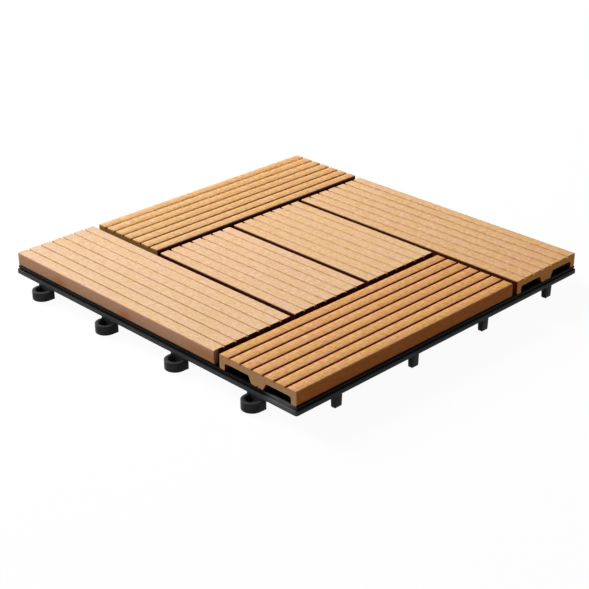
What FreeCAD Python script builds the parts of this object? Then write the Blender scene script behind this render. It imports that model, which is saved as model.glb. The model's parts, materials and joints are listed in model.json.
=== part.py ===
"""Interlocking deck tile: six hollow composite boards screwed to one moulded base.

Millimetres, +Z up. The origin is the tile's centre on the ground. The loops stand out along -Y and -X,
and the pegs hang under the +X and +Y edges, so that equal tiles hook together.
"""
import FreeCAD, Part
import math
import os

from FreeCAD import Vector

# Plan of the tile
flange_size = 300.0            # the base's flange, edge to edge
flange_overhang = 1.5          # flange beyond the boards
side_gap = 4.0                 # drainage gap beside a board
end_gap = 5.5                  # gap at the end of a board
laid_gap = 0.5                 # gap between the flanges of two hooked tiles

# Extruded board
board_height = 10.8
top_plate = 5.4                # solid thickness over the two channels
leg_width = 5.0                # outer legs under the board's edges
web_top_width = 16.4           # solid web in the middle, where it meets the top plate
web_foot_width = 10.8
channel_chamfer = 1.8
top_edge_radius = 0.8
foot_edge_chamfer = 1.1
groove_count = 6
groove_width = 2.0
groove_depth = 1.3
guide_width = 1.8              # V groove under the web that guides the screws
guide_depth = 1.0

# Moulded base
base_height = 14.7             # ground to the face that carries the boards
rib_depth = 6.0                # that face to the underside of the ribs and of the rim around them
rib_thickness = 2.0
ribs_per_board = 4             # ribs of the lattice to each board and its gap
rim_thickness = 3.4            # rim wall, from its neck inwards
ledge_thickness = 1.3          # solid border between the lattice and the rim
ledge_overhang = 0.6           # ledge's edge beyond the boards
neck_height = 1.2              # recess between the ledge's edge and the flange
neck_overhang = 0.1            # recess floor beyond the boards
flange_corner_radius = 2.0
foot_span = 12.0               # cross-shaped feet
foot_reach = 3                 # feet from the middle of the tile to its edge, half a board pitch apart
pad_width = 8.6                # square pads that the screws pass through

# Screws
screw_sides = 8                # flats that stand for the round of a screw and of its holes
screw_head_radius = 3.8
screw_head_height = 2.4
screw_shank_radius = 2.0
screw_length = 14.0            # under the head
screw_tip_length = 2.4
screw_hole_clearance = 0.3
pilot_hole_spare = 0.8         # pilot hole beyond the screw's tip
drive_width = 2.6              # square drive recess in the head
drive_depth = 1.4

# Loops and pegs
hook_count = 4                 # on each side
hook_pitch = 75.7
hook_offset = 2.1              # the row's shift from the middle of its side
loop_height = 7.0
loop_wall = 2.8
loop_root_thickness = 3.0
loop_root_inset = 0.8          # root plate behind the flange's face
peg_thickness = 5.4            # from the flange's face inwards
peg_width = 7.0
peg_corner = 1.4               # chamfers on the peg's inner edges, towards the loop's round end
peg_taper = 0.3                # each side of the peg draws in by this towards its tip
hook_side_clearance = 1.5      # loop's hole beyond the peg on each side
hook_end_clearance = 0.6       # loop's round end beyond the hooked peg

field_size = flange_size - 2 * flange_overhang
board_width = (field_size - 3 * side_gap) / 4
board_pitch = board_width + side_gap
long_length = field_size - board_width - end_gap
short_length = field_size - 2 * board_width - 2 * end_gap
rib_bottom = base_height - rib_depth
rib_pitch = board_pitch / ribs_per_board
ledge_bottom = base_height - ledge_thickness
flange_top = ledge_bottom - neck_height
rim_inside = field_size / 2 + neck_overhang - rim_thickness
rib_reach = int(rim_inside / rib_pitch)
ledge_inside = rib_reach * rib_pitch
peg_face = flange_size / 2
loop_hole_end = flange_size + laid_gap - peg_face + peg_thickness + hook_end_clearance
loop_hole_radius = peg_width / 2 + hook_side_clearance
loop_centre = loop_hole_end - loop_hole_radius
loop_radius = loop_hole_radius + loop_wall
screw_top = rib_bottom + screw_length


def outline(points):
    """Closed wire of straight edges."""
    return Part.makePolygon(points + points[:1])


def square_slab(half, bottom, top):
    """Square slab around the Z axis."""
    return Part.makeBox(2 * half, 2 * half, top - bottom, Vector(-half, -half, bottom))


def polygon(radius, z, x=0, y=0):
    """Regular polygon in plan that stands for a small circle."""
    turns = [2 * math.pi * side / screw_sides for side in range(screw_sides)]
    return outline([Vector(x + radius * math.cos(turn), y + radius * math.sin(turn), z) for turn in turns])


def round_bar(radius, bottom, top, x=0, y=0):
    """Upright round bar with screw_sides flats."""
    return Part.Face(polygon(radius, bottom, x, y)).extrude(Vector(0, 0, top - bottom))


def centred_box(length, width, bottom, top, x, y):
    """Box that is centred on (x, y) in plan."""
    return Part.makeBox(length, width, top - bottom, Vector(x - length / 2, y - width / 2, bottom))


def turned(shape, degrees):
    """Copy of the shape, turned about the tile's upright axis."""
    copy = shape.copy()
    copy.rotate(Vector(0, 0, 0), Vector(0, 0, 1), degrees)
    return copy


def moved(shape, x, y):
    """Copy of the shape, shifted in plan."""
    copy = shape.copy()
    copy.translate(Vector(x, y, 0))
    return copy


def board_section():
    """Section of the extruded board in the YZ plane: grooved on top, two channels and a web below."""
    half = board_width / 2
    shoulder = half - top_edge_radius
    plate_bottom = board_height - top_plate
    groove_floor = board_height - groove_depth
    groove_pitch = (board_width + groove_width) / (groove_count + 1)
    top = [(-shoulder, board_height)]
    for index in range(groove_count):
        middle = (index - (groove_count - 1) / 2) * groove_pitch
        left = middle - groove_width / 2
        right = middle + groove_width / 2
        top += [(left, board_height), (left, groove_floor), (right, groove_floor), (right, board_height)]
    top.append((shoulder, board_height))
    right_underside = [
        (half, board_height - top_edge_radius),
        (half, foot_edge_chamfer),
        (half - foot_edge_chamfer, 0),
        (half - leg_width, 0),
        (half - leg_width, plate_bottom - channel_chamfer),
        (half - leg_width - channel_chamfer, plate_bottom),
        (web_top_width / 2, plate_bottom),
        (web_foot_width / 2, 0),
        (guide_width / 2, 0),
    ]
    left_underside = [(-y, z) for y, z in reversed(right_underside)]
    underside = right_underside + [(0, guide_depth)] + left_underside
    edges = []
    for points in (top, underside):
        vectors = [Vector(0, y, z) for y, z in points]
        edges += [Part.LineSegment(start, end).toShape() for start, end in zip(vectors, vectors[1:])]
    diagonal = top_edge_radius * math.sqrt(0.5)
    for side in (-1, 1):
        arc = Part.Arc(
            Vector(0, side * shoulder, board_height),
            Vector(0, side * (shoulder + diagonal), board_height - top_edge_radius + diagonal),
            Vector(0, side * half, board_height - top_edge_radius),
        )
        edges.append(arc.toShape())
    return Part.Face(Part.Wire(Part.__sortEdges__(edges)))


def board(length, centre_x, centre_y, screw_places):
    """Board along X on top of the base, with a pilot hole in its web for each screw."""
    section = board_section()
    section.translate(Vector(centre_x - length / 2, centre_y, base_height))
    solid = section.extrude(Vector(length, 0, 0))
    pilot_top = screw_top + pilot_hole_spare
    pilots = [round_bar(screw_shank_radius, base_height, pilot_top, x, y) for x, y in screw_places]
    return solid.cut(pilots)


def screw():
    """Pan-head screw on the Z axis, its head against the underside of the base's pad."""
    head_bottom = rib_bottom - screw_head_height
    point_bottom = screw_top - screw_tip_length
    head = round_bar(screw_head_radius, head_bottom, rib_bottom)
    shank = round_bar(screw_shank_radius, rib_bottom, point_bottom)
    tip = Part.Vertex(0, 0, screw_top)
    point = Part.makeLoft([polygon(screw_shank_radius, point_bottom), tip], True, True)
    drive = centred_box(drive_width, drive_width, head_bottom, head_bottom + drive_depth, 0, 0)
    return head.fuse([shank, point]).cut(drive).removeSplitter()


def tongue(x, root_y, end_y, radius, height):
    """Flat bar on the ground along Y, from its root to the centre of its half-round end at -Y."""
    root_left = Vector(x - radius, root_y, 0)
    root_right = Vector(x + radius, root_y, 0)
    end_left = Vector(x - radius, end_y, 0)
    end_right = Vector(x + radius, end_y, 0)
    edges = [
        Part.LineSegment(root_left, end_left).toShape(),
        Part.Arc(end_left, Vector(x, end_y - radius, 0), end_right).toShape(),
        Part.LineSegment(end_right, root_right).toShape(),
        Part.LineSegment(root_right, root_left).toShape(),
    ]
    return Part.Face(Part.Wire(edges)).extrude(Vector(0, 0, height))


def loop(x):
    """Loop on the -Y side: a U-shaped strap that stands out from a root plate under the flange."""
    root_face = flange_size / 2 - loop_root_inset
    root_back = root_face - loop_root_thickness
    strap = tongue(x, -root_back, -loop_centre, loop_radius, loop_height)
    hole = tongue(x, -root_face, -loop_centre, loop_hole_radius, loop_height)
    root_middle = (root_face + root_back) / 2
    root = centred_box(2 * loop_radius, loop_root_thickness, 0, rib_bottom, x, -root_middle)
    return strap.cut(hole).fuse(root)


def peg(y):
    """Peg under the +X flange: a tapered bar that drops into the next tile's loop."""
    wires = []
    for draw, z in ((0, rib_bottom), (peg_taper, 0)):
        outer = peg_face - draw
        inner = peg_face - peg_thickness + draw
        half = peg_width / 2 - draw
        wires.append(outline([
            Vector(outer, y - half, z),
            Vector(outer, y + half, z),
            Vector(inner + peg_corner, y + half, z),
            Vector(inner, y + half - peg_corner, z),
            Vector(inner, y - half + peg_corner, z),
            Vector(inner + peg_corner, y - half, z),
        ]))
    return Part.makeLoft(wires, True, True)


def rib(place, half_length, bottom, top, along_x):
    """Rib of the lattice across the middle of the tile."""
    if along_x:
        return centred_box(2 * half_length, rib_thickness, bottom, top, 0, place)
    return centred_box(rib_thickness, 2 * half_length, bottom, top, place, 0)


def base(screw_places):
    """The moulded base: rim, ledge, lattice, feet, screw pads, loops and pegs in one solid."""
    flange = square_slab(flange_size / 2, rib_bottom, flange_top)
    flange = flange.makeFillet(flange_corner_radius, [
        edge for edge in flange.Edges if edge.BoundBox.ZLength > flange_top - rib_bottom - 0.01
    ])
    body = flange.fuse([
        square_slab(field_size / 2 + neck_overhang, flange_top, ledge_bottom),
        square_slab(field_size / 2 + ledge_overhang, ledge_bottom, base_height),
    ])
    body = body.cut([
        square_slab(rim_inside, rib_bottom, ledge_bottom),
        square_slab(ledge_inside, ledge_bottom, base_height),
    ])

    lattice = []
    rib_end = ledge_inside + rib_thickness / 2
    for step in range(-rib_reach, rib_reach + 1):
        for along_x in (True, False):
            lattice.append(rib(step * rib_pitch, rib_end, rib_bottom, base_height, along_x))
            if step % 2 == 0:
                lattice.append(rib(step * rib_pitch, rim_inside, rib_bottom, ledge_bottom, along_x))

    pads = [
        centred_box(pad_width, pad_width, rib_bottom, base_height, x, y)
        for x, y in screw_places
    ]
    feet = []
    for step_x in range(-foot_reach, foot_reach + 1):
        for step_y in range(-foot_reach, foot_reach + 1):
            x = step_x * board_pitch / 2
            y = step_y * board_pitch / 2
            under_a_screw = any(math.dist((x, y), place) < pad_width for place in screw_places)
            if not under_a_screw:
                feet.append(centred_box(foot_span, rib_thickness, 0, rib_bottom, x, y))
                feet.append(centred_box(rib_thickness, foot_span, 0, rib_bottom, x, y))

    loops = [loop(place) for place in hook_places()]
    loops += [turned(each, -90) for each in loops]
    pegs = [peg(-place) for place in hook_places()]
    pegs += [turned(each, 90) for each in pegs]
    body = body.fuse(lattice + pads + feet + loops + pegs)

    hole_radius = screw_shank_radius + screw_hole_clearance
    holes = [round_bar(hole_radius, rib_bottom, base_height, x, y) for x, y in screw_places]
    return body.cut(holes).removeSplitter()


def hook_places():
    """Places of the loops along the -Y side."""
    return [hook_pitch * (index - (hook_count - 1) / 2) - hook_offset for index in range(hook_count)]


def turned_place(place, quarters):
    """Place (x, y) after quarter turns about the tile's upright axis."""
    x, y = place
    for _ in range(quarters):
        x, y = -y, x
    return x, y


def main():
    """Make every piece and write it to its own file."""
    outer = 1.5 * board_pitch
    inner = 0.5 * board_pitch
    long_centre = (long_length - field_size) / 2
    long_screws = [(-outer, -outer), (inner, -outer)]
    short_screws = [(-inner, -inner), (inner, -inner)]
    long_board = board(long_length, long_centre, -outer, long_screws)
    short_board = board(short_length, 0, -inner, short_screws)

    pieces = {}
    screw_places = []
    for quarters, side in enumerate(("left", "front", "right", "back")):
        pieces[side + "_board"] = turned(long_board, 90 * quarters)
        screw_places += [turned_place(place, quarters) for place in long_screws]
    for quarters, side in ((0, "front"), (2, "back")):
        pieces["middle_board_" + side] = turned(short_board, 90 * quarters)
        screw_places += [turned_place(place, quarters) for place in short_screws]
    pieces["board_screws"] = Part.makeCompound([moved(screw(), x, y) for x, y in screw_places])
    pieces["base_grid"] = base(screw_places)

    os.makedirs("parts", exist_ok=True)
    for name, shape in pieces.items():
        shape.exportStep("parts/" + name + ".step")
        box = shape.BoundBox
        print(name, "solids", len(shape.Solids), "valid", shape.isValid(), "volume %.1f" % shape.Volume,
              "x %.2f %.2f  y %.2f %.2f  z %.2f %.2f"
              % (box.XMin, box.XMax, box.YMin, box.YMax, box.ZMin, box.ZMax))


main()
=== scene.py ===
"""Interlocking deck tile: grooved composite boards on a black moulded base, in a plain pale studio."""
import json
import math

import bmesh
import bpy
import numpy as np
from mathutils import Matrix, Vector


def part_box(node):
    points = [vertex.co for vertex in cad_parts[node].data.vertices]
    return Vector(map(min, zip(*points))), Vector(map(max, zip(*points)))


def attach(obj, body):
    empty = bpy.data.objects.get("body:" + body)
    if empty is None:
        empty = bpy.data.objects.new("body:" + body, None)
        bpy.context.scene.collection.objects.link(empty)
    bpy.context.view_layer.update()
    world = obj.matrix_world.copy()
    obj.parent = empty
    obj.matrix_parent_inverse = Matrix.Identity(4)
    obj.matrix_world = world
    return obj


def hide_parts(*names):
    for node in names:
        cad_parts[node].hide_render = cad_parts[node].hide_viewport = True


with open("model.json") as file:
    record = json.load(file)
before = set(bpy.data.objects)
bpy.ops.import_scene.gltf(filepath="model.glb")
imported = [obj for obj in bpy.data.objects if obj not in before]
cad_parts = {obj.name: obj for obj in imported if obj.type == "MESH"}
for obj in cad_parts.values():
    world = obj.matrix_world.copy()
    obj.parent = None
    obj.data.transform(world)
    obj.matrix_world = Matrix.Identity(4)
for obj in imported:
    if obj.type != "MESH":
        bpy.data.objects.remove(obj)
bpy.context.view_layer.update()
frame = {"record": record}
mm = 0.001

# Composite boards
# Six lengths of one extrusion: wood flour bound in plastic, brushed along its length on top and left
# with its darker extruded skin on the sides. Seven ridges and six grooves on top, two channels and a
# solid web underneath. The ends are saw cuts that show the flour cut across.
plate_bottom = 5.4 * mm
leg_width = 5.0 * mm
web_top_width = 16.4 * mm
web_foot_width = 10.8 * mm
guide_width = 1.8 * mm
guide_depth = 1.0 * mm
groove_count = 6
groove_width = 2.0 * mm
groove_depth = 1.3 * mm
top_arris = 0.9 * mm
foot_radius = 1.3 * mm
inner_foot_radius = 0.4 * mm
channel_radius = 1.8 * mm
web_top_radius = 0.8 * mm
web_foot_radius = 0.5 * mm
guide_radius = 0.2 * mm
lip_radius = 0.3 * mm
fillet_radius = 0.4 * mm
saw_arris = 0.12 * mm
corner_steps = 4
board_stations = 13
edge_ridge = 2.0 * mm
groove_fade = 0.5 * mm
brushed_depth = 0.8 * top_arris
outer_skin = 1.4 * mm
# Walls of a groove that face -X, past this distance from its middle, keep only this share of the grooves'
# painted shade, since the key light falls on them.
lit_wall_from = 0.6 * mm
lit_wall_shade_share = 0.3
# Share of the painted shade of the gaps between boards that the undersides and channels take.
underside_gap_shade = 0.8
tile_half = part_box("right_board")[1][0]
near_tile_side = tile_half - 1.0 * mm


def rounded_loop(corners, radii):
    """Closed outline of a polygon with rounded corners. Each corner becomes an arc, tangent to both of
    its sides: its centre lies on the bisector, radius / sin(half the angle) from the corner, and its
    points blend the two arc ends by the sines of the part turned and the part left to turn."""
    corners = np.asarray(corners, float)
    radii = np.broadcast_to(radii, len(corners)).astype(float)
    before = np.roll(corners, 1, axis=0) - corners
    after = np.roll(corners, -1, axis=0) - corners
    before /= np.linalg.norm(before, axis=1)[:, None]
    after /= np.linalg.norm(after, axis=1)[:, None]
    half = 0.5 * np.arccos(np.clip((before * after).sum(axis=1), -1, 1))
    bisector = before + after
    bisector /= np.linalg.norm(bisector, axis=1)[:, None]
    centre = corners + bisector * (radii / np.sin(half))[:, None]
    tangent_length = (radii / np.tan(half))[:, None]
    first = corners + before * tangent_length - centre
    last = corners + after * tangent_length - centre
    turn = (np.pi - 2 * half)[:, None, None]
    part = np.linspace(0, 1, corner_steps)[None, :, None]
    arc = np.sin((1 - part) * turn) * first[:, None] + np.sin(part * turn) * last[:, None]
    return (centre[:, None] + arc / np.sin(turn)).reshape(-1, 2)


def drawn_in(loop, distance):
    """The loop moved inwards: each point goes against the outward normal, which is the line between its
    neighbours turned by a quarter."""
    tangent = np.roll(loop, -1, axis=0) - np.roll(loop, 1, axis=0)
    normal = np.stack([tangent[:, 1], -tangent[:, 0]], axis=1)
    return loop - normal / np.linalg.norm(normal, axis=1)[:, None] * distance


def skin(rings, points, ends="capped"):
    """Quads between neighbouring rings of the same number of points. The first and last ring are capped
    with a face each, or left open."""
    ring, point = np.meshgrid(np.arange(rings - 1), np.arange(points), indexing="ij")
    next_point = (point + 1) % points
    corners = [
        ring * points + point,
        ring * points + next_point,
        (ring + 1) * points + next_point,
        (ring + 1) * points + point,
    ]
    faces = np.stack(corners, axis=-1).reshape(-1, 4).tolist()
    if ends == "capped":
        faces.append(list(range(points))[::-1])
        faces.append(list(range((rings - 1) * points, rings * points)))
    return faces


def new_piece(name, points, faces, sharp_degrees=38):
    """A mesh object with its place in its points. Points that coincide are merged, the faces are turned
    outwards, and edges flatter than the given angle are shaded smooth."""
    mesh = bpy.data.meshes.new(name)
    mesh.from_pydata(points.reshape(-1, 3).tolist(), [], faces)
    surface = bmesh.new()
    surface.from_mesh(mesh)
    bmesh.ops.remove_doubles(surface, verts=surface.verts, dist=0.002 * mm)
    bmesh.ops.recalc_face_normals(surface, faces=surface.faces)
    surface.to_mesh(mesh)
    surface.free()
    mesh.shade_smooth()
    mesh.set_sharp_from_angle(angle=math.radians(sharp_degrees))
    piece = bpy.data.objects.new(name, mesh)
    bpy.context.scene.collection.objects.link(piece)
    return piece


def groove_pitch(width):
    """Distance from groove to groove. They share the width with one more ridge than grooves."""
    return (width + groove_width) / (groove_count + 1)


def board_loop(width, height):
    """Section of the extrusion, across and up, from the guide groove round the right leg and the top.
    Each corner has its radius."""
    half = width / 2
    floor = height - groove_depth
    pitch = groove_pitch(width)
    side = [
        (guide_width / 2, 0, guide_radius),
        (web_foot_width / 2, 0, web_foot_radius),
        (web_top_width / 2, plate_bottom, web_top_radius),
        (half - leg_width, plate_bottom, channel_radius),
        (half - leg_width, 0, inner_foot_radius),
        (half, 0, foot_radius),
        (half, height, top_arris),
    ]
    top = []
    for index in range(groove_count)[::-1]:
        middle = (index - (groove_count - 1) / 2) * pitch
        right = middle + groove_width / 2
        left = middle - groove_width / 2
        top += [
            (right, height, lip_radius), (right, floor, fillet_radius),
            (left, floor, fillet_radius), (left, height, lip_radius),
        ]
    mirrored = [(-across, up, radius) for across, up, radius in side[::-1]]
    corners = np.array([(0, guide_depth, guide_radius)] + side + top + mirrored)
    return rounded_loop(corners[:, :2], corners[:, 2])


def new_board(name):
    """A length of the extrusion in the place of a CAD board: the section carried along the board, and
    drawn in at each end, where the saw cut's edge is broken. Three attributes are masks for the
    material: the grooves, which take painted shade on some boards and painted light on others, and
    on boards along Y much less of it on the walls that face -X, where the key light falls; the brushed
    top with its grooves; and painted shade on the sides in the gaps between boards, less of it
    underneath."""
    low, high = (np.array(corner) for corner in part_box(name))
    size = high - low
    along_x = size[0] > size[1]
    length, width = (size[0], size[1]) if along_x else (size[1], size[0])
    loop = board_loop(width, size[2])
    inner_stations = np.linspace(saw_arris, length - saw_arris, board_stations)
    stations = np.concatenate([[0], inner_stations, [length]])
    end_loop = drawn_in(loop, saw_arris)
    rings = np.stack([end_loop] + [loop] * board_stations + [end_loop])
    along = np.repeat(stations[:, None], len(loop), axis=1) - length / 2
    across, up = rings[..., 0], rings[..., 1]
    centre = (low + high) / 2
    if along_x:
        points = np.stack([centre[0] + along, centre[1] + across, low[2] + up], axis=-1)
    else:
        points = np.stack([centre[0] - across, centre[1] + along, low[2] + up], axis=-1)
    board = new_piece(name + "_extrusion", points, skin(len(stations), len(loop)))
    place = np.empty(len(board.data.vertices) * 3)
    board.data.vertices.foreach_get("co", place)
    place = place.reshape(-1, 3) - centre
    from_middle = np.abs(place[:, 1] if along_x else place[:, 0])
    outwards = np.abs(place[:, 1] + centre[1] if along_x else place[:, 0] + centre[0])
    depth = size[2] / 2 - place[:, 2]
    at_edge = from_middle >= width / 2 - edge_ridge
    in_groove = ~at_edge & (depth < groove_depth + 0.1 * mm)
    pitch = groove_pitch(width)
    from_groove = (place[:, 0] / pitch % 1 - 0.5) * pitch
    # On boards along Y, the walls facing -X, where the key light falls, keep only a share of the grooves'
    # painted shade.
    lit_wall_shade = 1 if along_x else np.where(from_groove > lit_wall_from, lit_wall_shade_share, 1)
    # Painted shade of the gaps between boards: full on the sides, less underneath, none near the tile's
    # sides.
    gap_shade_strength = np.where(at_edge, 1, underside_gap_shade)
    masks = {
        "groove": np.where(in_groove, lit_wall_shade * np.clip(depth / groove_fade, 0, 1), 0),
        "brushed": np.where(in_groove, 1, np.clip(1 - depth / brushed_depth, 0, 1)),
        "gap": np.where(outwards > tile_half - outer_skin, 0, gap_shade_strength),
    }
    for mask, values in masks.items():
        attribute = board.data.attributes.new(mask, "FLOAT", "POINT")
        attribute.data.foreach_set("value", values.astype(np.float32))
    for face in board.data.polygons:
        if len(face.vertices) > 4:
            reach = abs(face.center[0] if along_x else face.center[1])
            face.material_index = 1 if reach > near_tile_side else 2
    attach(board, "root")
    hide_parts(name)
    return board, along_x


def colour(red, green, blue):
    """Screen colour, 0 to 255, as the linear value that a shader takes."""
    screen = np.array([red, green, blue]) / 255
    linear = np.where(screen <= 0.04045, screen / 12.92, ((screen + 0.055) / 1.055) ** 2.4)
    return (*linear.tolist(), 1.0)


def add(tree, kind, inputs=None, **settings):
    """A new node with its properties set, and its sockets filled with a value or linked to another's."""
    node = tree.nodes.new("ShaderNode" + kind)
    for key, value in settings.items():
        setattr(node, key, value)
    for key, value in (inputs or {}).items():
        if isinstance(value, bpy.types.NodeSocket):
            tree.links.new(value, node.inputs[key])
        else:
            node.inputs[key].default_value = value
    return node


def maths(tree, operation, *values):
    """Result of one Math node."""
    return add(tree, "Math", dict(enumerate(values)), operation=operation).outputs[0]


def blended(tree, factor, first, second, mode="MIX"):
    """Result of one colour Mix node."""
    sockets = {0: factor, 6: first, 7: second}
    return add(tree, "Mix", sockets, data_type="RGBA", blend_type=mode).outputs[2]


def multiplied(tree, first, second):
    """Product of two colours."""
    return blended(tree, 1.0, first, second, "MULTIPLY")


def grey(tree, value):
    """A value as a colour."""
    return add(tree, "CombineColor", {0: value, 1: value, 2: value}).outputs[0]


def ramped(tree, value, low, high, to_low=0.0, to_high=1.0):
    """Value mapped from one range to another, and held at its ends."""
    sockets = {0: value, 1: low, 2: high, 3: to_low, 4: to_high}
    return add(tree, "MapRange", sockets, clamp=True).outputs[0]


def cloudy(tree, vector, per_metre, detail, roughness=0.5):
    """Noise around 0.5, with the given number of features to a metre along each axis."""
    scaled = add(tree, "Mapping", {"Vector": vector, "Scale": per_metre}).outputs[0]
    sockets = {"Vector": scaled, "Scale": 1.0, "Detail": detail, "Roughness": roughness}
    return add(tree, "TexNoise", sockets).outputs[0]


def swing(tree, value, amount):
    """The part of a noise above or below its middle, times an amount."""
    return maths(tree, "MULTIPLY", maths(tree, "SUBTRACT", value, 0.5), amount)


def new_group(name, inputs, outputs):
    """An empty shader node group with named sockets."""
    tree = bpy.data.node_groups.new(name, "ShaderNodeTree")
    for direction, sockets in (("INPUT", inputs), ("OUTPUT", outputs)):
        for socket, kind in sockets.items():
            tree.interface.new_socket(socket, in_out=direction, socket_type="NodeSocket" + kind)
    return tree, tree.nodes.new("NodeGroupInput").outputs, tree.nodes.new("NodeGroupOutput").inputs


def composite_grain_group():
    """Wood flour in plastic, with its length along X: fibre streaks, long brush lines, faint marks
    across, dark specks, patches of pinker and yellower colour, and paler ridge edges. Ridge counts the
    ridges across the board, so that its halves lie in the grooves. Speckle and Mottle are the strengths
    of the streaks and of the patches. The grooves take a colour that is painted shade on some boards and
    painted light on others. The sides keep a smoother, darker skin, with painted shade that deepens
    towards their foot, and the sides in the gaps between boards take painted shade darker still."""
    inputs = {
        "Vector": "Vector", "Body": "Color", "Groove Shading": "Color", "Side": "Color", "Gap Shade": "Color",
        "In Groove": "Float", "Brushed": "Float", "In Gap": "Float", "Ridge": "Float",
        "Foot Shade": "Float", "Speckle": "Float", "Mottle": "Float",
    }
    outputs = {"Color": "Color", "Height": "Float", "Roughness": "Float"}
    tree, given, result = new_group("composite_grain", inputs, outputs)
    vector = given["Vector"]
    fibres = cloudy(tree, vector, (230, 780, 780), 2.0, 0.6)
    brushing = cloudy(tree, vector, (22, 620, 620), 2.0, 0.6)
    cross_marks = cloudy(tree, vector, (700, 130, 130), 1.0)
    clouds = cloudy(tree, vector, (8, 22, 22), 2.0)
    patches = cloudy(tree, vector, (42, 110, 110), 3.0, 0.6)
    specks = cloudy(tree, vector, (420, 600, 600), 1.0)
    streaks = maths(tree, "ADD", swing(tree, fibres, 2.2), swing(tree, cross_marks, 0.8))
    shade = maths(tree, "MULTIPLY", streaks, given["Speckle"])
    shade = maths(tree, "ADD", shade, swing(tree, brushing, 0.16))
    shade = maths(tree, "ADD", shade, swing(tree, clouds, 0.10))
    shade = maths(tree, "SUBTRACT", shade, ramped(tree, specks, 0.22, 0.15, 0.0, 0.3))
    shade = maths(tree, "MULTIPLY", shade, ramped(tree, given["Brushed"], 0.0, 1.0, 0.5, 1.0))
    tints = [maths(tree, "MULTIPLY_ADD", shade, part, 1.0) for part in (0.55, 0.95, 1.7)]
    shades = add(tree, "CombineColor", dict(enumerate(tints))).outputs[0]
    ridge_part = maths(tree, "FRACT", given["Ridge"])
    from_groove = maths(tree, "ABSOLUTE", maths(tree, "SUBTRACT", ridge_part, 0.5))
    edge = maths(tree, "MULTIPLY", ramped(tree, from_groove, 0.11, 0.30, 1.0, 0.0), given["Mottle"])
    patchy = maths(tree, "MULTIPLY", swing(tree, patches, 4.5), given["Mottle"])
    paler = multiplied(tree, given["Body"], (1.025, 1.0, 1.10, 1))
    body = blended(tree, edge, given["Body"], paler)
    pinker = multiplied(tree, body, (1.02, 0.985, 1.12, 1))
    yellower = multiplied(tree, body, (0.985, 1.01, 0.86, 1))
    body = blended(tree, ramped(tree, patchy, -0.5, 0.5), yellower, pinker)
    # The grooves' colour: painted shade on some boards, painted light on others.
    body = blended(tree, given["In Groove"], body, given["Groove Shading"])
    # Painted shade: the sides darken towards their foot, and go darker still in the gaps between boards.
    side = multiplied(tree, given["Side"], grey(tree, given["Foot Shade"]))
    side = blended(tree, given["In Gap"], side, given["Gap Shade"])
    body = blended(tree, given["Brushed"], side, body)
    tree.links.new(multiplied(tree, body, shades), result["Color"])
    height = maths(tree, "MULTIPLY_ADD", brushing, 0.6, maths(tree, "MULTIPLY", fibres, 0.4))
    tree.links.new(maths(tree, "MULTIPLY", height, given["Brushed"]), result["Height"])
    matt = ramped(tree, brushing, 0.3, 0.7, 0.64, 0.78)
    smooth = ramped(tree, given["Brushed"], 0.0, 1.0, 0.12, 0.0)
    tree.links.new(maths(tree, "SUBTRACT", matt, smooth), result["Roughness"])
    return tree


def end_grain_group():
    """Wood flour cut across by a saw: round pale and dark grains, and faint level marks of the blade."""
    inputs = {"Vector": "Vector", "Body": "Color"}
    outputs = {"Color": "Color", "Height": "Float"}
    tree, given, result = new_group("end_grain", inputs, outputs)
    vector = given["Vector"]
    grains = cloudy(tree, vector, (900, 900, 900), 2.0, 0.6)
    coarse = cloudy(tree, vector, (330, 330, 330), 2.0)
    waves = {"Vector": vector, "Scale": 240.0, "Distortion": 1.2, "Detail": 1.0}
    blade = add(tree, "TexWave", waves, wave_type="BANDS", bands_direction="Z").outputs["Fac"]
    shade = maths(tree, "ADD", 1.0, swing(tree, grains, 0.38))
    shade = maths(tree, "ADD", shade, swing(tree, coarse, 0.18))
    shade = maths(tree, "ADD", shade, swing(tree, blade, 0.05))
    shade = maths(tree, "SUBTRACT", shade, ramped(tree, grains, 0.32, 0.24, 0.0, 0.2))
    tree.links.new(multiplied(tree, given["Body"], grey(tree, shade)), result["Color"])
    tree.links.new(maths(tree, "ADD", grains, swing(tree, blade, 0.3)), result["Height"])
    return tree


composite_grain = composite_grain_group()
end_grain = end_grain_group()
composite_gloss = 0.08
smudge_half_height = 5.0 * mm


def plain_material(name, specular):
    """A material, its node tree and its shader, with the shader's plain gloss set."""
    material = bpy.data.materials.new(name)
    material.use_nodes = True
    shader = material.node_tree.nodes["Principled BSDF"]
    shader.inputs["Specular IOR Level"].default_value = specular
    return material, material.node_tree, shader


def bumped(tree, shader, height, strength, depth):
    """A height taken to the shader's normal."""
    sockets = {"Strength": strength, "Distance": depth, "Height": height}
    tree.links.new(add(tree, "Bump", sockets).outputs[0], shader.inputs["Normal"])


def from_spot(tree, place, spot, scale):
    """Distance from a spot, with each axis scaled first."""
    offset = add(tree, "VectorMath", {0: place, 1: spot}, operation="SUBTRACT").outputs[0]
    scaled = add(tree, "VectorMath", {0: offset, 1: scale}, operation="MULTIPLY").outputs[0]
    return add(tree, "VectorMath", {0: scaled}, operation="LENGTH").outputs["Value"]


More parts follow.
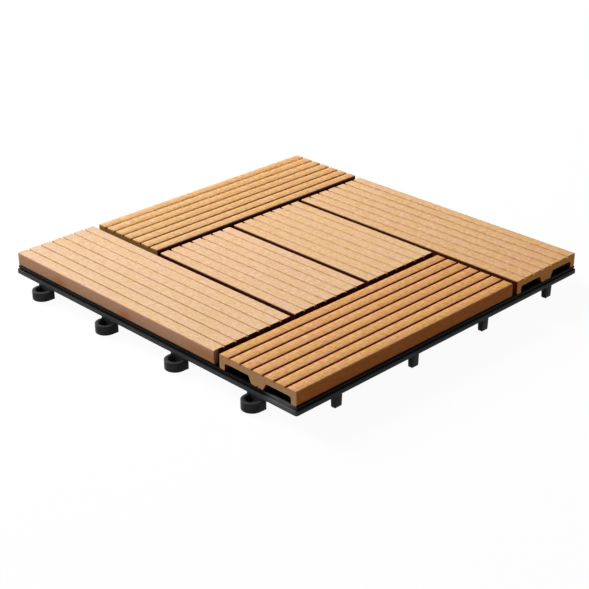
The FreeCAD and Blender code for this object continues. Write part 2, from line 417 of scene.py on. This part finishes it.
def composite_material(name, along_x, look):
    """Brushed composite for one board, its grain along the board and shifted, so that no two boards
    look the same. The body goes from its first colour to its second along the board: partly the boards'
    own variation, partly painted light falling off along the board. The grooves do so across it, each
    from the axis's low side to its high one, as painted shade that lightens into painted light on the
    back board. A groove's last millimetres take the painted shade of the gaps where they open between
    boards, and the side's or the cut's colour at the tile's side. A smudge is a warmer oval on the side,
    given by its place along X, its height and its half width."""
    material, tree, shader = plain_material(name + "_composite", composite_gloss)
    place = add(tree, "TexCoord").outputs["Object"]
    turn = 0.0 if along_x else math.radians(-90)
    shift = (look["shift"], look["shift"] / 3, 0)
    placed = add(tree, "Mapping", {"Vector": place, "Location": shift, "Rotation": (0, 0, turn)})
    axes = add(tree, "SeparateXYZ", {0: place}).outputs
    low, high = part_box(name)
    length_axis, width_axis = (0, 1) if along_x else (1, 0)
    from_low = ramped(tree, axes[length_axis], low[length_axis], high[length_axis])
    across = ramped(tree, axes[width_axis], low[width_axis], high[width_axis])
    middle = (low[width_axis] + high[width_axis]) / 2
    pitch = groove_pitch(high[width_axis] - low[width_axis])
    ridge = maths(tree, "DIVIDE", maths(tree, "SUBTRACT", axes[width_axis], middle), pitch)
    # The grooves' colour graded across the board: painted shade on the front board and the back board's
    # inner grooves, painted light on the paler ones.
    groove = blended(tree, across, *look["groove"])
    outer_tip = look["side"] if along_x else look["cut"]
    # Near an end that opens between boards, the grooves take the painted shade of the gaps; near the
    # tile's side, they take the side's or the cut's colour.
    for end in (low[length_axis], high[length_axis]):
        from_end = maths(tree, "ABSOLUTE", maths(tree, "SUBTRACT", axes[length_axis], end))
        near_end = ramped(tree, from_end, 0.5 * mm, 2.0 * mm, 1.0, 0.0)
        tip = outer_tip if abs(end) > near_tile_side else look["gap"]
        groove = blended(tree, near_end, groove, tip)
    side = look["side"]
    for along, up, half_width in look.get("smudges", []):
        distance = from_spot(tree, place, (along, 0, up), (1 / half_width, 0, 1 / smudge_half_height))
        side = blended(tree, ramped(tree, distance, 1.0, 0.1, 0.0, 0.7), side, look["smudge"])
    sockets = {
        "Vector": placed.outputs[0],
        # Body colour along the board: partly the boards' own variation, partly painted light falling off.
        "Body": blended(tree, from_low, *look["body"]),
        "Groove Shading": groove,
        "Side": side,
        # Painted shade of the gaps between boards, and the mask for where the sides take it.
        "Gap Shade": look["gap"],
        "In Groove": add(tree, "Attribute", attribute_name="groove").outputs["Fac"],
        "Brushed": add(tree, "Attribute", attribute_name="brushed").outputs["Fac"],
        "In Gap": add(tree, "Attribute", attribute_name="gap").outputs["Fac"],
        "Ridge": ridge,
        # Painted shade: the sides darken towards their foot.
        "Foot Shade": ramped(tree, axes["Z"], low[2] + 0.6 * mm, low[2] + 1.9 * mm, 0.12, 1.0),
        "Speckle": look["speckle"],
        "Mottle": look["mottle"],
    }
    outputs = add(tree, "Group", sockets, node_tree=composite_grain).outputs
    tree.links.new(outputs["Color"], shader.inputs["Base Color"])
    tree.links.new(outputs["Roughness"], shader.inputs["Roughness"])
    bumped(tree, shader, outputs["Height"], 0.4, 0.10 * mm)
    return material


def end_material(name, inner, outer):
    """Sawn end of a board, of one colour inside the tile and another near the tile's sides. Hidden ends
    take painted shade inside the tile, where they face the gaps between boards.
    """
    material, tree, shader = plain_material(name, composite_gloss)
    place = add(tree, "TexCoord").outputs["Object"]
    axes = add(tree, "SeparateXYZ", {0: place}).outputs
    reach = maths(tree, "MAXIMUM", *(maths(tree, "ABSOLUTE", axes[axis]) for axis in (0, 1)))
    at_side = ramped(tree, reach, tile_half - 5 * mm, tile_half - 2 * mm)
    sockets = {"Vector": place, "Body": blended(tree, at_side, inner, outer)}
    outputs = add(tree, "Group", sockets, node_tree=end_grain).outputs
    tree.links.new(outputs["Color"], shader.inputs["Base Color"])
    bumped(tree, shader, outputs["Height"], 0.5, 0.12 * mm)
    shader.inputs["Roughness"].default_value = 0.85
    return material


# The colours for the gaps between boards and for the ends in them are painted shade; the dark groove
# colours are painted shade and the pale ones painted light; each body pair partly paints light falling
# off along the board.
board_looks = {
    "left_board": {
        "shift": 0.31, "speckle": 0.34, "mottle": 0.35,
        "body": (colour(232, 194, 156), colour(239, 198, 153)),
        "groove": (colour(226, 198, 158), colour(243, 208, 168)),
        "side": colour(210, 158, 124), "gap": colour(92, 32, 8),
        "cut": colour(214, 160, 116), "gap_cut": colour(80, 28, 4),
        "smudge": colour(200, 120, 66),
        "smudges": [
            (-97 * mm, 18 * mm, 10 * mm),
            (-21 * mm, 18 * mm, 10 * mm),
            (70 * mm, 20 * mm, 34 * mm),
        ]},
    "front_board": {
        "shift": 0.12, "speckle": 0.64, "mottle": 0.8,
        "body": (colour(229, 172, 113), colour(223, 163, 101)),
        "groove": (colour(98, 8, 0), colour(98, 8, 0)),
        "side": colour(212, 124, 58), "gap": colour(80, 28, 4),
        "cut": colour(218, 166, 116), "gap_cut": colour(80, 28, 4)},
    "right_board": {
        "shift": 0.77, "speckle": 0.46, "mottle": 0.5,
        "body": (colour(234, 192, 146), colour(230, 182, 130)),
        "groove": (colour(236, 196, 151), colour(227, 184, 134)),
        "side": colour(202, 140, 88), "gap": colour(98, 34, 8),
        "cut": colour(252, 180, 98), "gap_cut": colour(80, 28, 4)},
    "back_board": {
        "shift": 0.53, "speckle": 0.62, "mottle": 0.4,
        "body": (colour(227, 181, 126), colour(224, 173, 116)),
        "groove": (colour(254, 228, 168), colour(152, 66, 4)),
        "side": colour(152, 102, 68), "gap": colour(80, 26, 4),
        "cut": colour(218, 164, 92), "gap_cut": colour(218, 164, 92)},
    "middle_board_front": {
        "shift": 0.95, "speckle": 0.36, "mottle": 0.4,
        "body": (colour(238, 197, 155), colour(238, 197, 155)),
        "groove": (colour(239, 207, 166), colour(239, 207, 166)),
        "side": colour(196, 136, 90), "gap": colour(90, 30, 6),
        "cut": colour(196, 140, 92), "gap_cut": colour(80, 28, 4)},
    "middle_board_back": {
        "shift": 0.64, "speckle": 0.34, "mottle": 0.5,
        "body": (colour(236, 193, 146), colour(236, 193, 146)),
        "groove": (colour(240, 209, 166), colour(236, 203, 160)),
        "side": colour(196, 136, 88), "gap": colour(96, 32, 8),
        "cut": colour(196, 140, 90), "gap_cut": colour(80, 28, 4)},
}
for name, look in board_looks.items():
    board, along_x = new_board(name)
    board.data.materials.append(composite_material(name, along_x, look))
    board.data.materials.append(end_material(name + "_saw_cut", look["cut"], look["cut"]))
    # Ends that face the gaps between boards: painted shade inside the tile, fading to the cut's own
    # colour near the tile's sides.
    board.data.materials.append(end_material(name + "_hidden_saw_cut_painted_shade", look["gap_cut"], look["cut"]))

# Moulded base
# One shot of black polypropylene, ejected downwards: a rim with a ledge, a recess and a flange, a
# lattice of ribs with square cells, square pads for the screws and cross-shaped feet. All its edges are
# rounded, and its feet, pads and pegs taper away from the top.
base_low, base_high = (np.array(corner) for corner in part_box("base_grid"))
flange_half = base_high[0]
carrying_face = base_high[2]
board_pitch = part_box("middle_board_back")[0][1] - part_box("middle_board_front")[0][1]
rib_pitch = board_pitch / 4
rib_half = 1.0 * mm
rib_bottom = 8.7 * mm
cells_across = 14
cell_radius = 1.3 * mm
cell_steps = 8
lattice_half = cells_across / 2 * rib_pitch
ledge_bottom = 13.4 * mm
neck_bottom = 12.2 * mm
ledge_overhang = 0.6 * mm
neck_overhang = 0.1 * mm
flange_radius = 2.0 * mm
rim_inside = 145.2 * mm
rim_corner_steps = 7
cell_side = np.sin(np.linspace(-0.5, 0.5, cell_steps + 1)[:-1] * np.pi)
cell_middles = (np.arange(cells_across) - (cells_across - 1) / 2) * rib_pitch


def lattice_cells():
    """The lattice of ribs as one patch to a cell, repeated. Each patch is a stack of rings: the square
    that it shares with its neighbours, then rounded squares that turn over the ribs' lower edge, climb
    the cell's wall and turn over the upper edge, and the shared square again. A ring's point is the
    nearest point of a rounded square, which is a core square with a disc around it. The points of a side
    lie at the sines of equal angles, so that they are closer together near the corners."""
    one = np.ones(cell_steps)
    square = np.concatenate([
        np.stack([cell_side, -one], axis=1),
        np.stack([one, cell_side], axis=1),
        np.stack([-cell_side, one], axis=1),
        np.stack([-one, -cell_side], axis=1),
    ])
    half_cell = rib_pitch / 2 - rib_half
    stack = [
        (rib_bottom, 0.55 * mm), (rib_bottom + 0.06 * mm, 0.28 * mm), (rib_bottom + 0.3 * mm, 0.14 * mm),
        (carrying_face - 0.2 * mm, 0), (carrying_face - 0.04 * mm, 0.08 * mm), (carrying_face, 0.25 * mm),
    ]
    boundary = square * rib_pitch / 2
    rings = [np.column_stack([boundary, np.full(len(square), rib_bottom)])]
    for height, widening in stack:
        half = half_cell + widening
        spread = square * half
        core = np.clip(spread, cell_radius - half, half - cell_radius)
        outwards = spread - core
        outwards /= np.linalg.norm(outwards, axis=1)[:, None]
        rings.append(np.column_stack([core + outwards * cell_radius, np.full(len(square), height)]))
    rings.append(np.column_stack([boundary, np.full(len(square), carrying_face)]))
    patch = np.array(rings)
    across, along = np.meshgrid(cell_middles, cell_middles)
    shifts = np.stack([across, along, np.zeros_like(across)], axis=-1).reshape(-1, 1, 1, 3)
    points = (patch[None] + shifts).reshape(len(shifts), -1, 3)
    faces = np.array(skin(len(patch), len(square), "open"))
    numbers = faces[None] + (np.arange(len(shifts)) * patch[..., 0].size)[:, None, None]
    return points.reshape(-1, 3), numbers.reshape(-1, 4).tolist()


def rim():
    """The rim: a profile, outwards and up, carried round a square path. Where the profile stands further
    out, the path's corners get a larger radius, and along the lattice they are sharp. The path's points
    are those that the outermost cells have along the lattice's edge."""
    ledge = tile_half + ledge_overhang
    neck = tile_half + neck_overhang
    rib = lattice_half + rib_half
    corners = np.array([
        (lattice_half, carrying_face, 0),
        (ledge, carrying_face, 0.3 * mm),
        (ledge, ledge_bottom, 0.25 * mm),
        (neck, ledge_bottom, 0.2 * mm),
        (neck, neck_bottom, 0.3 * mm),
        (flange_half, neck_bottom, 0.5 * mm),
        (flange_half, rib_bottom, 0.45 * mm),
        (rim_inside, rib_bottom, 0.4 * mm),
        (rim_inside, ledge_bottom, 0.5 * mm),
        (rib, ledge_bottom, 0.4 * mm),
        (rib, rib_bottom, 0.3 * mm),
        (lattice_half, rib_bottom, 0),
    ])
    profile = rounded_loop(corners[:, :2], corners[:, 2])[corner_steps - 1:1 - corner_steps]
    outwards, up = profile[:, 0], profile[:, 1]
    radius = np.clip(outwards - (flange_half - flange_radius), 0, None)
    side = (cell_middles[:, None] + cell_side * rib_pitch / 2).ravel()
    turn = np.linspace(-0.5, 0, rim_corner_steps) * np.pi
    straight = np.broadcast_to(side, (len(profile), len(side)))
    arc_middle = (outwards - radius)[:, None]
    across = np.concatenate([straight, arc_middle + radius[:, None] * np.cos(turn)], axis=1)
    down = np.concatenate([np.broadcast_to(-outwards[:, None], straight.shape),
                           -arc_middle + radius[:, None] * np.sin(turn)], axis=1)
    quarters = [(across, down), (-down, across), (-across, -down), (down, -across)]
    plan = np.concatenate([np.stack(quarter, axis=-1) for quarter in quarters], axis=1)
    height = np.broadcast_to(up[:, None, None], (*plan.shape[:2], 1))
    points = np.concatenate([plan, height], axis=-1)
    return points.reshape(-1, 3), skin(len(profile), plan.shape[1], "open")


def post(loop, levels):
    """An outline stood up through levels, each a height and how far the outline is drawn in there."""
    rings = []
    for height, inset in levels:
        rings.append(np.column_stack([drawn_in(loop, inset), np.full(len(loop), height)]))
    return np.concatenate(rings), skin(len(levels), len(loop))


def oblong(middle, half_size, radius):
    """Rounded rectangle in plan."""
    corners = np.array([(-1, -1), (1, -1), (1, 1), (-1, 1)]) * half_size
    return rounded_loop(corners, radius) + middle


def foot(middle):
    """Cross-shaped foot: an outline of two crossed arms that tapers to a rounded sole."""
    long, short = 6.0 * mm, 1.0 * mm
    arm = [(short, -long), (short, -short), (long, -short)]
    corners = []
    for _ in range(4):
        corners += arm
        arm = [(-y, x) for x, y in arm]
    radii = [0.5 * mm, 0.7 * mm, 0.5 * mm] * 4
    levels = [
        (rib_bottom + 0.5 * mm, 0), (3 * mm, 0.08 * mm), (0.35 * mm, 0.14 * mm),
        (0.1 * mm, 0.22 * mm), (0, 0.42 * mm),
    ]
    return post(rounded_loop(corners, radii) + middle, levels)


def pad(middle):
    """Square pad round a screw, with a rounded lower edge under the lattice."""
    levels = [
        (carrying_face - 0.05 * mm, 0), (rib_bottom + 0.25 * mm, 0.05 * mm),
        (rib_bottom + 0.02 * mm, 0.15 * mm), (rib_bottom - 0.05 * mm, 0.4 * mm),
    ]
    return post(oblong(middle, 4.3 * mm, 1.2 * mm), levels)


def rim_rib(place, side):
    """Rib under the ledge, from the lattice to the rim, in line with a row of feet."""
    middle = (lattice_half + rim_inside) / 2
    levels = [
        (ledge_bottom + 0.3 * mm, 0), (rib_bottom + 0.4 * mm, 0.1 * mm),
        (rib_bottom + 0.08 * mm, 0.3 * mm),
    ]
    half_length = (rim_inside - lattice_half) / 2 + 0.6 * mm
    return post(oblong((side * middle, place), (half_length, rib_half), 0.3 * mm), levels)


def quarter_turned(shell, quarters=1):
    """A shell turned by quarters about the tile's upright axis."""
    points, faces = shell
    for _ in range(quarters):
        points = points @ np.array([[0, 1, 0], [-1, 0, 0], [0, 0, 1]])
    return points, faces


def joined(shells):
    """The points of all the shells in one list, and their faces numbered to match."""
    faces = []
    start = 0
    for points, shell_faces in shells:
        faces += [[start + corner for corner in face] for face in shell_faces]
        start += len(points)
    return np.concatenate([points for points, _ in shells]), faces


half_pitches = np.arange(-3, 4) * board_pitch / 2
screw_places = []
for quarter in range(4):
    for across, along in ((-3, -3), (1, -3), (-1, -1)):
        for _ in range(quarter):
            across, along = -along, across
        screw_places.append((across * board_pitch / 2, along * board_pitch / 2))
foot_places = [
    (x, y) for x in half_pitches for y in half_pitches
    if all(math.dist((x, y), place) > rib_pitch / 2 for place in screw_places)
]
base_shells = [lattice_cells(), rim()]
base_shells += [foot(place) for place in foot_places]
base_shells += [pad(place) for place in screw_places]
for place in half_pitches:
    ribs = [rim_rib(place, side) for side in (-1, 1)]
    base_shells += ribs + [quarter_turned(rib) for rib in ribs]

# Loops and pegs
# Parts of the same moulding. A loop is a U-shaped strap that stands out from a root plate under the
# flange, and a peg is a tapered bar under the flange of the opposite side, which drops into the next
# tile's loop.
loop_height = 7.0 * mm
loop_wall = 2.8 * mm
loop_hole_radius = 5.0 * mm
loop_centre = -base_low[0] - loop_hole_radius - loop_wall
loop_root_face = 149.2 * mm
loop_root_thickness = 3.0 * mm
peg_thickness = 5.4 * mm
peg_width = 7.0 * mm
peg_corner = 1.4 * mm
strap_steps = 20
mounts = {mount["name"]: mount["pos_m"] for mount in frame["record"]["mounts"]}
loop_places = [mounts["loop_front_" + which][0] for which in ("first", "second", "third", "fourth")]


def strap(place):
    """A loop's strap: a rounded oblong profile, outwards and up, carried along a path that runs straight
    out, half round and straight back. At each station the profile stands square to the path."""
    turn = np.linspace(np.pi, 2 * np.pi, strap_steps + 1)
    middle_radius = loop_hole_radius + loop_wall / 2
    root = loop_root_face - 0.35 * mm
    path = np.column_stack([middle_radius * np.cos(turn), middle_radius * np.sin(turn) - loop_centre])
    normal = np.column_stack([np.cos(turn), np.sin(turn)])
    path = np.concatenate([[(-middle_radius, -root)], path, [(middle_radius, -root)]])
    normal = np.concatenate([[(-1, 0)], normal, [(1, 0)]])
    profile = oblong((0, loop_height / 2), np.array([loop_wall, loop_height]) / 2, 0.45 * mm)
    plan = path[:, None] + normal[:, None] * profile[None, :, :1]
    height = np.broadcast_to(profile[None, :, 1:], (len(path), len(profile), 1))
    points = np.concatenate([plan + (place, 0), height], axis=-1)
    return points.reshape(-1, 3), skin(len(path), len(profile))


def loop_root(place):
    """The root plate that a loop stands out from, between the ground and the flange."""
    half_size = np.array([loop_hole_radius + loop_wall, loop_root_thickness / 2])
    plan = oblong((place, -loop_root_face + loop_root_thickness / 2), half_size, 0.4 * mm)
    levels = [(rib_bottom + 0.5 * mm, 0), (0.3 * mm, 0), (0.08 * mm, 0.1 * mm), (0, 0.3 * mm)]
    return post(plan, levels)


def peg(place):
    """A peg on the +X side: a bar with chamfered inner edges that tapers to a rounded tip."""
    half = peg_width / 2
    outer = flange_half
    inner = flange_half - peg_thickness
    corners = [
        (outer, -half), (outer, half), (inner + peg_corner, half), (inner, half - peg_corner),
        (inner, -half + peg_corner), (inner + peg_corner, -half),
    ]
    plan = rounded_loop(corners, 0.45 * mm) + (0, place)
    levels = [
        (rib_bottom + 0.6 * mm, 0.02 * mm), (0.5 * mm, 0.29 * mm),
        (0.12 * mm, 0.38 * mm), (0, 0.62 * mm),
    ]
    return post(plan, levels)


hooks = [make(place) for place in loop_places for make in (strap, loop_root)]
pegs = [peg(-place) for place in loop_places]
base_shells += hooks + [quarter_turned(shell, 3) for shell in hooks]
base_shells += pegs + [quarter_turned(shell) for shell in pegs]
base = new_piece("base_moulding", *joined(base_shells), sharp_degrees=42)
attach(base, "root")
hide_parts("base_grid")

moulded, tree, shader = plain_material("moulded_plastic", 0.05)
place = add(tree, "TexCoord").outputs["Object"]
fine = cloudy(tree, place, (1400, 1400, 1400), 2.0)
broad = cloudy(tree, place, (60, 60, 60), 3.0)
flow = cloudy(tree, place, (25, 25, 220), 2.0)
height = add(tree, "SeparateXYZ", {0: place}).outputs["Z"]
# Painted light and shade by height: the flange band is painted lighter, where the floor's bounced light
# falls on it, and all above the flange, the ledge, the recess and the tops inside the tile, is painted
# near black as shade.
flange_bounce_light = ramped(tree, height, rib_bottom - 0.4 * mm, rib_bottom + 0.2 * mm)
shade_above_flange = ramped(tree, height, neck_bottom - 0.6 * mm, neck_bottom)
rubbed = ramped(tree, broad, 0.35, 0.65)
plastic = blended(tree, rubbed, colour(54, 55, 56), colour(64, 65, 66))
# Painted light on the flange band, painted shade above the flange.
plastic = blended(tree, flange_bounce_light, plastic, colour(75, 76, 78))
plastic = blended(tree, shade_above_flange, plastic, colour(9, 9, 10))
# Painted highlight: a lighter patch on the flange and ledge near the front corner, broken up by the broad
# noise.
from_corner = from_spot(tree, place, (136 * mm, -150 * mm, 0), (1 / (18 * mm), 1 / (3 * mm), 0))
patchy = ramped(tree, broad, 0.2, 0.5, 0.5, 1.0)
corner_highlight = maths(tree, "MULTIPLY", ramped(tree, from_corner, 1.0, 0.5), patchy)
plastic = blended(tree, corner_highlight, plastic, colour(104, 105, 107))
sheen = ramped(tree, maths(tree, "ADD", broad, flow), 0.8, 1.2, 0.36, 0.52)
tree.links.new(plastic, shader.inputs["Base Color"])
tree.links.new(sheen, shader.inputs["Roughness"])
bumped(tree, shader, fine, 0.3, 0.06 * mm)
base.data.materials.append(moulded)

# Screws
# Zinc-plated pan-head screws with a square drive, driven up from below through the base's pads into the
# webs of the boards, two to each board.
head_bottom = 6.3 * mm
shank_radius = 2.0 * mm
root_radius = 1.45 * mm
screw_top = 22.7 * mm
tip_length = 2.4 * mm
thread_pitch = 2.2 * mm
drive_half = 1.3 * mm
drive_depth = 1.4 * mm
screw_sides = 24
thread_rings = 64


def screw(middle):
    """A screw as rings about its axis. The head's rings go from the square of the drive to the circle of
    the rim: each has its rise, its size in half sides of the drive, and how square it is. The shank's
    radius swings with the height and the turn together, so that its crest is a helix. The crest fades
    out under the head, and the shank runs to a point at the tip."""
    turn = np.arange(screw_sides) / screw_sides * 2 * np.pi
    square = 1 / np.maximum(np.abs(np.cos(turn)), np.abs(np.sin(turn)))
    head = [
        (drive_depth, 0, 1), (drive_depth, 0.9, 1), (drive_depth - 0.1 * mm, 1.0, 1),
        (0.15 * mm, 1.02, 1), (0.03 * mm, 1.12, 0.9), (0, 1.5, 0.4), (0, 1.9, 0),
        (0.18 * mm, 2.45, 0), (0.6 * mm, 2.78, 0), (1.2 * mm, 2.92, 0), (2.05 * mm, 2.92, 0),
        (2.3 * mm, 2.85, 0), (2.4 * mm, 2.65, 0), (2.4 * mm, 1.5, 0),
    ]
    rise, scale, squareness = np.array(head).T
    head_radii = drive_half * scale[:, None] * (1 + squareness[:, None] * (square - 1))
    head_heights = np.broadcast_to(head_bottom + rise[:, None], head_radii.shape)
    heights = np.linspace(rib_bottom + 0.1 * mm, screw_top, thread_rings)[:, None]
    phase = (heights / thread_pitch - turn / (2 * np.pi)) % 1
    crest = np.clip(1 - 3.2 * np.abs(phase - 0.5), 0, 1)
    run_in = np.clip((heights - rib_bottom) / (1.5 * mm), 0, 1)
    point = np.clip((screw_top - heights) / tip_length, 0, 1)
    shank_radii = (root_radius + (shank_radius - root_radius) * crest * run_in) * point
    radii = np.concatenate([head_radii, shank_radii])
    heights = np.concatenate([head_heights, np.broadcast_to(heights, shank_radii.shape)])
    across = radii * np.cos(turn) + middle[0]
    along = radii * np.sin(turn) + middle[1]
    points = np.stack([across, along, heights], axis=-1)
    return points.reshape(-1, 3), skin(len(radii), screw_sides, "open")


screws = new_piece("deck_screws", *joined([screw(middle) for middle in screw_places]))
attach(screws, "root")
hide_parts("board_screws")
zinc, tree, shader = plain_material("zinc_plate", 0.5)
place = add(tree, "TexCoord").outputs["Object"]
spangle = cloudy(tree, place, (700, 700, 700), 2.0)
plating = blended(tree, spangle, colour(196, 194, 184), colour(222, 222, 218))
tree.links.new(plating, shader.inputs["Base Color"])
tree.links.new(ramped(tree, spangle, 0.3, 0.7, 0.26, 0.42), shader.inputs["Roughness"])
shader.inputs["Metallic"].default_value = 1.0
screws.data.materials.append(zinc)

# Studio
# A plain pale floor that shows white to the camera, keeps a soft shadow and is clear from below. A soft
# key light low on the left, weak lights that reach the front and right sides, a weak one above, and a
# dim sky.
floor_half = 4.0
floor_grey = 0.27
floor_glow = 0.95
dim_sky = 0.08
floor_mesh = bpy.data.meshes.new("studio_floor")
floor_corners = [
    (-floor_half, -floor_half, 0), (floor_half, -floor_half, 0),
    (floor_half, floor_half, 0), (-floor_half, floor_half, 0),
]
floor_mesh.from_pydata(floor_corners, [], [(0, 1, 2, 3)])
floor = bpy.data.objects.new("studio_floor", floor_mesh)
bpy.context.scene.collection.objects.link(floor)
pale_floor, tree, shader = plain_material("pale_floor", 0.5)
tree.nodes.remove(shader)


def seen_directly(tree):
    """1 for a ray from the camera, a mirror or glass, and 0 for light between surfaces."""
    rays = add(tree, "LightPath").outputs
    seen = maths(tree, "MAXIMUM", rays["Is Camera Ray"], rays["Is Glossy Ray"])
    return maths(tree, "MAXIMUM", seen, rays["Is Transmission Ray"])


matt = add(tree, "BsdfDiffuse", {"Color": (floor_grey, floor_grey, floor_grey, 1)}).outputs[0]
white = add(tree, "BsdfDiffuse", {"Color": (1, 1, 1, 1)}).outputs[0]
glow = add(tree, "Emission", {"Color": (1, 1, 1, 1), "Strength": 1.0}).outputs[0]
bright = add(tree, "MixShader", {0: floor_glow, 1: white, 2: glow}).outputs[0]
shown = add(tree, "MixShader", {0: seen_directly(tree), 1: matt, 2: bright}).outputs[0]
clear = add(tree, "BsdfTransparent").outputs[0]
from_below = add(tree, "NewGeometry").outputs["Backfacing"]
one_sided = add(tree, "MixShader", {0: from_below, 1: shown, 2: clear}).outputs[0]
tree.links.new(one_sided, tree.nodes["Material Output"].inputs["Surface"])
floor_mesh.materials.append(pale_floor)

world = bpy.data.worlds.new("studio")
bpy.context.scene.world = world
world.use_nodes = True
tree = world.node_tree
sky = tree.nodes["Background"].inputs
sky["Color"].default_value = (1, 1, 1, 1)
tree.links.new(ramped(tree, seen_directly(tree), 0.0, 1.0, dim_sky, 1.0), sky["Strength"])


def soft_light(name, place, target, size, power):
    """Square area light at a place, facing a target."""
    lamp = bpy.data.lights.new(name, "AREA")
    lamp.size = size
    lamp.energy = power
    light = bpy.data.objects.new(name, lamp)
    light.location = place
    light.rotation_euler = (target - place).to_track_quat("-Z", "Y").to_euler()
    bpy.context.scene.collection.objects.link(light)


tile_centre = Vector((0, 0, 0.02))
soft_light("key", Vector((-1.95, -0.15, 1.12)), tile_centre, 0.9, 84)
soft_light("front", Vector((-0.5, -2.2, 0.28)), tile_centre, 0.8, 10.5)
soft_light("right", Vector((2.1, -0.2, 0.5)), tile_centre, 0.8, 3)
soft_light("top", Vector((0, 0.1, 2.2)), tile_centre, 1.2, 3)

bpy.context.scene.view_settings.view_transform = "Standard"
camera_data = bpy.data.cameras.new("camera")
camera_data.sensor_width = 36
camera_data.lens = 86.25
camera = bpy.data.objects.new("camera", camera_data)
camera.location = (0.6855, -0.6857, 0.4644)
looked_at = Vector((0.04984, -0.05183, 0.0255))
camera.rotation_euler = (looked_at - camera.location).to_track_quat("-Z", "Y").to_euler()
bpy.context.scene.collection.objects.link(camera)
bpy.context.scene.camera = camera
